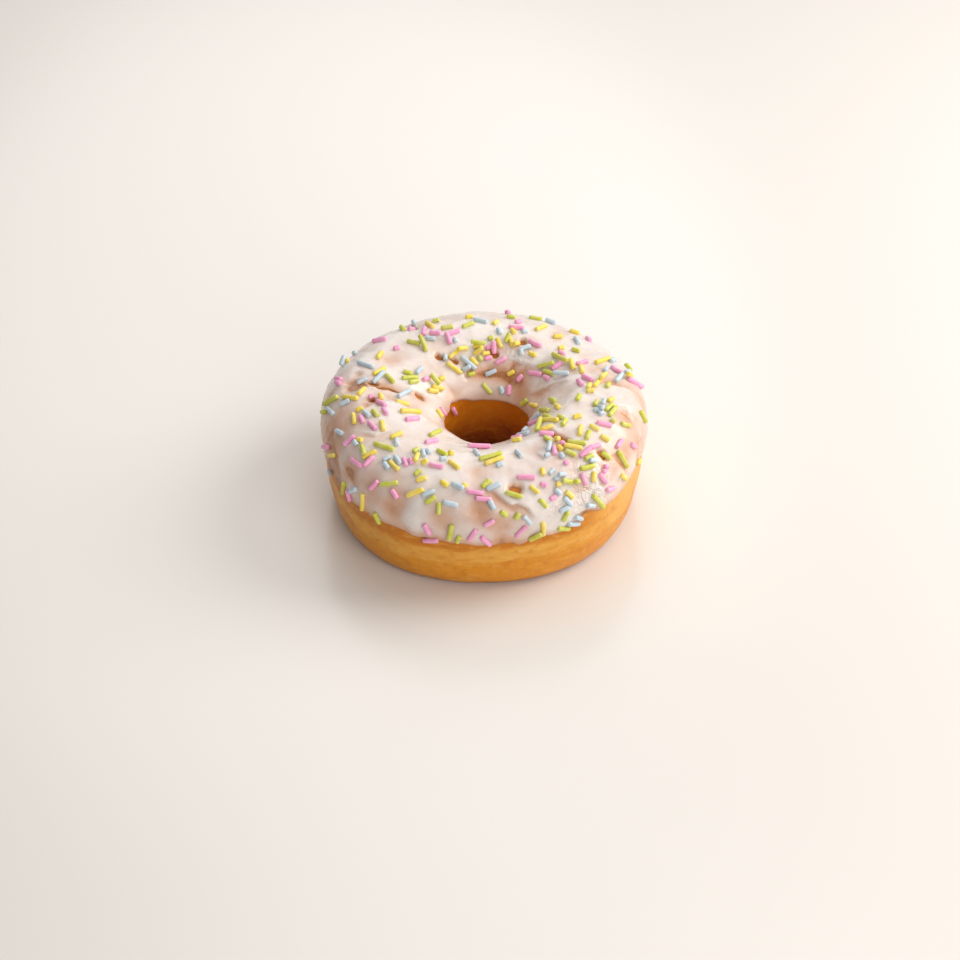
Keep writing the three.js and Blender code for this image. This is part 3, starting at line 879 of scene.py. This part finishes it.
class StrandBed:
    """The surface that strands' middles rest at, and the strands that lie there already."""

    def __init__(self, pieces, thickness):
        self.radius = thickness / 2
        self.shift = Vector(ring_shift())
        self.lying = []
        corners, faces = [], []
        for piece in pieces:
            first = len(corners)
            corners += [v.co + v.normal * self.radius * SUNK for v in piece.data.vertices]
            faces += [tuple(first + corner for corner in f.vertices) for f in piece.data.polygons]
        self.surface = BVHTree.FromPolygons(corners, faces)
        steps = np.arange(0, MAX_LIFT, LIFT_STEP)
        self.lifts = sorted(((a, b) for a in steps for b in steps), key=lambda lift: (sum(lift), max(lift)))

    def seen(self, origin, direction):
        """Where a line of sight meets the surface."""
        place = self.surface.ray_cast(origin + self.shift, direction)[0]
        if place is None:
            raise RuntimeError(f"Nothing for a strand to lie on at {origin}")
        return place

    def nearest(self, point):
        return self.surface.find_nearest(point)[:2]

    def depth_of(self, point):
        """How far a point lies below the surface."""
        ground, facing = self.nearest(point)
        return (ground - point).dot(facing)

    def middle_line(self, ends):
        shares = np.linspace(0, 1, LINE_POINTS)[:, None]
        return np.array(ends[0]) * (1 - shares) + np.array(ends[1]) * shares

    def clear(self, ends, others):
        line = self.middle_line(ends)
        gaps = (np.linalg.norm(line[:, None] - other[None], axis=-1).min() for other in others)
        return all(gap > 2 * self.radius * TOUCH for gap in gaps)

    def lay(self, ends, on_others=True):
        """Lays a strand between two places, with its ends raised over the strands under it."""
        middle = (ends[0] + ends[1]) / 2
        normal = self.nearest(middle)[1]
        sunk = max(self.depth_of(ends[0].lerp(ends[1], share)) for share in UNDER_POINTS)
        ends = [end + normal * max(0, sunk - self.radius * MAY_SINK) for end in ends]
        centre = np.array(middle)
        others = [line for line in self.lying if np.linalg.norm(line[LINE_POINTS // 2] - centre) < REACH]
        if not on_others and not self.clear(ends, others):
            return None
        for first, second in self.lifts:
            raised = [ends[0] + normal * first, ends[1] + normal * second]
            if self.clear(raised, others):
                ends = raised
                break
        self.lying.append(self.middle_line(ends))
        return ends, normal


def strand_corners(ends, normal, radius, rng):
    """Rings of corners of one strand, from one rounded end to the other."""
    axis = ends[1] - ends[0]
    along = axis.normalized()
    side = along.cross(normal).normalized()
    up = side.cross(along)
    half = max(axis.length / 2, radius)
    middle = (ends[0] + ends[1]) / 2
    bend = rng.uniform(-BEND, BEND) * radius
    swell = rng.uniform(-UNEVEN, UNEVEN)
    profile = [(-half + a * radius, r) for a, r in CAP]
    profile += [(-half * SWELLS_AT, 1 + swell), (half * SWELLS_AT, 1 + swell)]
    profile += [(half - a * radius, r) for a, r in reversed(CAP)]
    spin = rng.uniform(0, math.tau)
    corners = []
    for offset, size in profile:
        centre = middle + along * offset + side * bend * (1 - (offset / half) ** 2)
        for i in range(SIDES):
            angle = spin + math.tau * i / SIDES
            corners.append(centre + (side * math.cos(angle) + up * math.sin(angle)) * radius * size)
    return corners, len(profile)


def strands_mesh(name, strands):
    """Joins strands, each a list of ring corners, into one mesh."""
    corners, faces = [], []
    for rings, count in strands:
        start = len(corners)
        corners += [rings[0]] + rings[SIDES:-SIDES] + [rings[-1]]
        first = start + 1
        last = start + 1 + (count - 2) * SIDES
        for i in range(SIDES):
            j = (i + 1) % SIDES
            faces.append((start, first + j, first + i))
            for ring in range(count - 3):
                a = first + ring * SIDES
                faces.append((a + i, a + j, a + SIDES + j, a + SIDES + i))
            faces.append((last, last - SIDES + i, last - SIDES + j))
    return smooth_mesh(name, corners, faces)


def strand_finish(name, colour):
    """Pressed sugar: matt, a little cloudy, paler where it has dried."""
    sugar = Finish(name)
    cloud = sugar.noise(1.6 * MM, 3) - 0.5
    paler = [c + (1 - c) * 0.3 for c in colour]
    tint = sugar.mix(sugar.clamped(0.3 + cloud * 1.8), colour, paler)
    bumps = sugar.bumps((sugar.noise(0.35 * MM, 2), 0.03 * MM))
    return sugar.shade(
        base_color=tint, roughness=0.42 + cloud * 0.2, normal=bumps, subsurface_weight=0.25,
        subsurface_radius=(1.0, 0.8, 0.7), subsurface_scale=0.6 * MM)


def make_strands(settings):
    pieces = [bpy.data.objects.get(name) for name in ("icing_cap", "dough_ring")]
    if None in pieces:
        raise RuntimeError("The dough and the icing have to be there before the strands")
    bed = StrandBed(pieces, settings.thickness)
    rng = random.Random(settings.seed)
    made = {colour: [] for colour in TOP_STRANDS}

    def add(colour, ends, normal):
        radius = bed.radius * rng.uniform(1 - UNEVEN, 1 + UNEVEN)
        made[colour].append(strand_corners(ends, normal, radius, rng))

    tables = (TOP_STRANDS, from_above), (SIDE_STRANDS, from_outside), (HOLE_STRANDS, from_the_hole)
    for table, sight in tables:
        for colour, strands in table.items():
            for a, b, c, d in strands:
                add(colour, *bed.lay([bed.seen(*sight(a, b)), bed.seen(*sight(c, d))]))
    for ends in strewn_ends(bed, pieces[0], settings, rng):
        laid = bed.lay(ends, on_others=False)
        if laid:
            add(rng.choice(sorted(made)), *laid)
    for colour, strands in made.items():
        name = f"strands_{colour}"
        mesh = strands_mesh(name, strands)
        add_piece(name, mesh, strand_finish(name, getattr(settings, colour)))


def strewn_ends(bed, icing, settings, rng):
    """Places for strands strewn, in loose clumps, over the icing that faces away from the viewer."""
    loop = ICING_ROWS + UNDERSIDE_ROWS
    first, last = EDGE_ROWS[0], ICING_ROWS - EDGE_ROWS[1]
    away, weights = [], []
    for face in icing.data.polygons:
        in_hole = face.normal.xy.dot(face.center.xy) < 0
        limit = HOLE_FACING_AWAY if in_hole else FACING_AWAY
        if first < face.index % loop < last and face.normal.dot(VIEWER) < limit:
            away.append(face)
            weights.append(face.area * (0.4 + max(0, noise.noise(face.center / CLUMP_SIZE))))
    for face in rng.choices(away, weights, k=settings.strewn):
        heading = Vector([rng.gauss(0, 1) for _ in range(3)])
        along = (heading - face.normal * heading.dot(face.normal)).normalized()
        reach = along * rng.uniform(*HALF_STREWN) * MM
        yield [bed.nearest(face.center + reach)[0], bed.nearest(face.center - reach)[0]]


# ---------------------------------------------------------------- stage

FLOOR_HALF = 1.5  # half the width of the floor in metres
LIGHTS_AIM = Vector((0, 0, 0.02))

# Name, place in metres, width in metres and colour of each light
LIGHTS = (
    ("key", (0.55, 0.14, 0.40), 0.5, (1.0, 0.96, 0.91)),
    ("top", (0.05, 0.25, 0.75), 0.6, (1.0, 0.98, 0.96)),
    ("window", (-0.1, 0.75, 0.5), 0.6, (1.0, 0.98, 0.96)),
    ("fill", (0.3, -0.55, 0.3), 0.5, (1.0, 0.96, 0.92)),
)


def make_stage(settings):
    scene = bpy.context.scene
    scene.view_settings.view_transform = "Standard"
    make_floor(settings)
    make_lights(settings)
    camera = bpy.data.objects.new("camera", bpy.data.cameras.new("camera"))
    camera.data.lens = settings.lens
    camera.data.clip_start = 0.01
    scene.collection.objects.link(camera)
    target = Vector(settings.looks_at) + Vector(ring_shift())
    back = Vector((0, -math.cos(settings.elevation), math.sin(settings.elevation)))
    camera.location = target + back * settings.distance
    camera.rotation_euler = back.to_track_quat("Z", "Y").to_euler()
    scene.camera = camera


def make_floor(settings):
    corners = [(x * FLOOR_HALF, y * FLOOR_HALF, 0) for x, y in ((-1, -1), (1, -1), (1, 1), (-1, 1))]
    mesh = bpy.data.meshes.new("floor")
    mesh.from_pydata(corners, [], [(0, 1, 2, 3)])
    floor = bpy.data.objects.new("floor", mesh)
    bpy.context.scene.collection.objects.link(floor)
    table = Finish("pale_floor")
    mesh.materials.append(table.shade(base_color=settings.floor, roughness=0.22))
    floor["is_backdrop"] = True


def make_lights(settings):
    world = bpy.context.scene.world or bpy.data.worlds.new("room")
    bpy.context.scene.world = world
    world.use_nodes = True
    background = world.node_tree.nodes["Background"]
    background.inputs["Color"].default_value = (*settings.room, 1)
    background.inputs["Strength"].default_value = settings.room_strength
    for name, place, width, colour in LIGHTS:
        light = bpy.data.lights.new(name, "AREA")
        light.shape = "DISK"
        light.size = width
        light.energy = getattr(settings, f"{name}_power")
        light.color = colour
        lamp = bpy.data.objects.new(name, light)
        lamp.location = place
        lamp.rotation_euler = (Vector(place) - LIGHTS_AIM).to_track_quat("Z", "Y").to_euler()
        bpy.context.scene.collection.objects.link(lamp)


# ---------------------------------------------------------------- add-on settings


def length_setting(name, description, default, low=0.0):
    return FloatProperty(
        name=name, description=description, default=default, min=low, subtype="DISTANCE", unit="LENGTH")


def colour_setting(name, description, default):
    return FloatVectorProperty(
        name=name, description=description, default=default, size=3, min=0, max=1, subtype="COLOR")


def power_setting(name, description, default):
    return FloatProperty(name=name, description=description, default=default, min=0, unit="POWER")


class DoughSettings(PropertyGroup):
    lumps: length_setting("Lumps", "How far the crust swells in and out", 0.28 * MM)
    crust: colour_setting("Crust", "Golden colour of the fried side", (0.73, 0.285, 0.015))
    band: colour_setting("Pale band", "Colour of the line that floated above the oil", (0.83, 0.45, 0.09))
    # paints the shade of the strip under the icing's lip too; in the pores it is the crust's own darker
    # colour
    underside: colour_setting(
        "Deeper crust", "Colour of the strip under the icing and in the pores", (0.59, 0.19, 0.010))
    inside: colour_setting("Hole wall", "Colour of the crust inside the hole", (0.71, 0.225, 0.008))
    # besides the deepest crust, this paints the shade low in the hole, along the base and in the pits
    deep: colour_setting(
        "Deepest crust", "Colour round the base and low down in the hole", (0.34, 0.07, 0.004))


class IcingSettings(PropertyGroup):
    thickness: length_setting("Thickness", "Mean thickness of the icing", 1.1 * MM)
    pooling: length_setting("Pooling", "How much thicker or thinner it lies in pools and hollows", 0.3 * MM)
    crumples: length_setting("Crumples", "Height of the wrinkles where the skin dried crumpled", 0.3 * MM)
    cream: colour_setting("Cream", "Colour of thick icing", (0.82, 0.755, 0.725))
    thin: colour_setting("Thin icing", "Colour where the dough shows through", (0.62, 0.29, 0.13))
    # the dough's colour in a pit, darkened by painted shade
    pit_dough_and_shade: colour_setting("Bare spots", "Colour of the dough at the bottom of a pit", (0.38, 0.13, 0.03))


class StrandSettings(PropertyGroup):
    thickness: length_setting("Thickness", "Thickness of a strand", 1.3 * MM, low=0.5 * MM)
    strewn: IntProperty(
        name="Strewn", default=100, min=0,
        description="Strands tried at random on the far side; those that land on others are left out")
    seed: IntProperty(name="Seed", description="Another number strews them another way", default=8, min=0)
    pink: colour_setting("Pink", "Colour of the pink strands", (0.94, 0.36, 0.62))
    yellow: colour_setting("Yellow", "Colour of the yellow strands", (0.90, 0.70, 0.06))
    green: colour_setting("Green", "Colour of the green strands", (0.60, 0.62, 0.03))
    blue: colour_setting("Blue", "Colour of the blue strands", (0.53, 0.66, 0.75))


class StageSettings(PropertyGroup):
    lens: FloatProperty(
        name="Lens", description="Focal length of the camera in millimetres", default=85, min=20)
    elevation: FloatProperty(
        name="Elevation", description="Angle of the camera above the floor",
        default=math.radians(36.37), subtype="ANGLE", unit="ROTATION")
    distance: length_setting("Distance", "From the camera to the point it looks at", 622.8 * MM)
    looks_at: FloatVectorProperty(
        name="Looks at", description="Point of the floor in the middle of the view, from the ring's middle",
        default=(-1.0 * MM, 5.2 * MM, 0), size=3, subtype="XYZ", unit="LENGTH")
    floor: colour_setting("Floor", "Colour of the floor", (0.80, 0.775, 0.745))
    room: colour_setting("Room light", "Colour of the light from all around", (1.0, 0.96, 0.92))
    room_strength: FloatProperty(
        name="Room strength", description="Strength of the light from all around", default=0.36, min=0)
    key_power: power_setting("Key light", "Power of the light from the right", 3.7)
    top_power: power_setting("Top light", "Power of the broad light overhead", 1.0)
    window_power: power_setting("Window light", "Power of the light from behind", 1.5)
    fill_power: power_setting("Fill light", "Power of the light from the front right", 1.9)


# ---------------------------------------------------------------- add-on operators


class DOUGHNUT_OT_dough(Operator):
    """Makes the fried ring of dough"""
    bl_idname = "doughnut.dough"
    bl_label = "Dough"

    def execute(self, context):
        make_dough(context.scene.doughnut_dough)
        return {"FINISHED"}


class DOUGHNUT_OT_icing(Operator):
    """Pours the icing over the dough"""
    bl_idname = "doughnut.icing"
    bl_label = "Icing"

    def execute(self, context):
        make_icing(context.scene.doughnut_icing, context.scene.doughnut_dough.lumps)
        return {"FINISHED"}


class DOUGHNUT_OT_strands(Operator):
    """Strews the sugar strands over the icing"""
    bl_idname = "doughnut.strands"
    bl_label = "Sugar strands"

    def execute(self, context):
        make_strands(context.scene.doughnut_strands)
        return {"FINISHED"}


class DOUGHNUT_OT_stage(Operator):
    """Sets up the floor, the lights and the camera"""
    bl_idname = "doughnut.stage"
    bl_label = "Stage"

    def execute(self, context):
        make_stage(context.scene.doughnut_stage)
        return {"FINISHED"}


class DOUGHNUT_PT_panel(Panel):
    """Lists the doughnut's settings and the buttons that make its pieces"""
    bl_idname = "DOUGHNUT_PT_panel"
    bl_label = "Iced Ring Doughnut"
    bl_space_type = "VIEW_3D"
    bl_region_type = "UI"
    bl_category = "Doughnut"

    def draw(self, context):
        for name, group, operator in STEPS:
            box = self.layout.box()
            settings = getattr(context.scene, name)
            for label in group.__annotations__:
                box.prop(settings, label)
            box.operator(operator.bl_idname)


STEPS = (
    ("doughnut_dough", DoughSettings, DOUGHNUT_OT_dough),
    ("doughnut_icing", IcingSettings, DOUGHNUT_OT_icing),
    ("doughnut_strands", StrandSettings, DOUGHNUT_OT_strands),
    ("doughnut_stage", StageSettings, DOUGHNUT_OT_stage),
)


def register():
    for name, group, operator in STEPS:
        bpy.utils.register_class(group)
        bpy.utils.register_class(operator)
        setattr(bpy.types.Scene, name, PointerProperty(type=group))
    bpy.utils.register_class(DOUGHNUT_PT_panel)


def unregister():
    bpy.utils.unregister_class(DOUGHNUT_PT_panel)
    for name, group, operator in reversed(STEPS):
        delattr(bpy.types.Scene, name)
        bpy.utils.unregister_class(operator)
        bpy.utils.unregister_class(group)


def main():
    register()
    bpy.ops.doughnut.dough()
    bpy.ops.doughnut.icing()
    bpy.ops.doughnut.strands()
    bpy.ops.doughnut.stage()
    sizes = {"frame": FRAME_BOX, "visual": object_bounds()}
    plain = {name: [list(map(float, corner)) for corner in box] for name, box in sizes.items()}


if __name__ == "__main__":
    main()
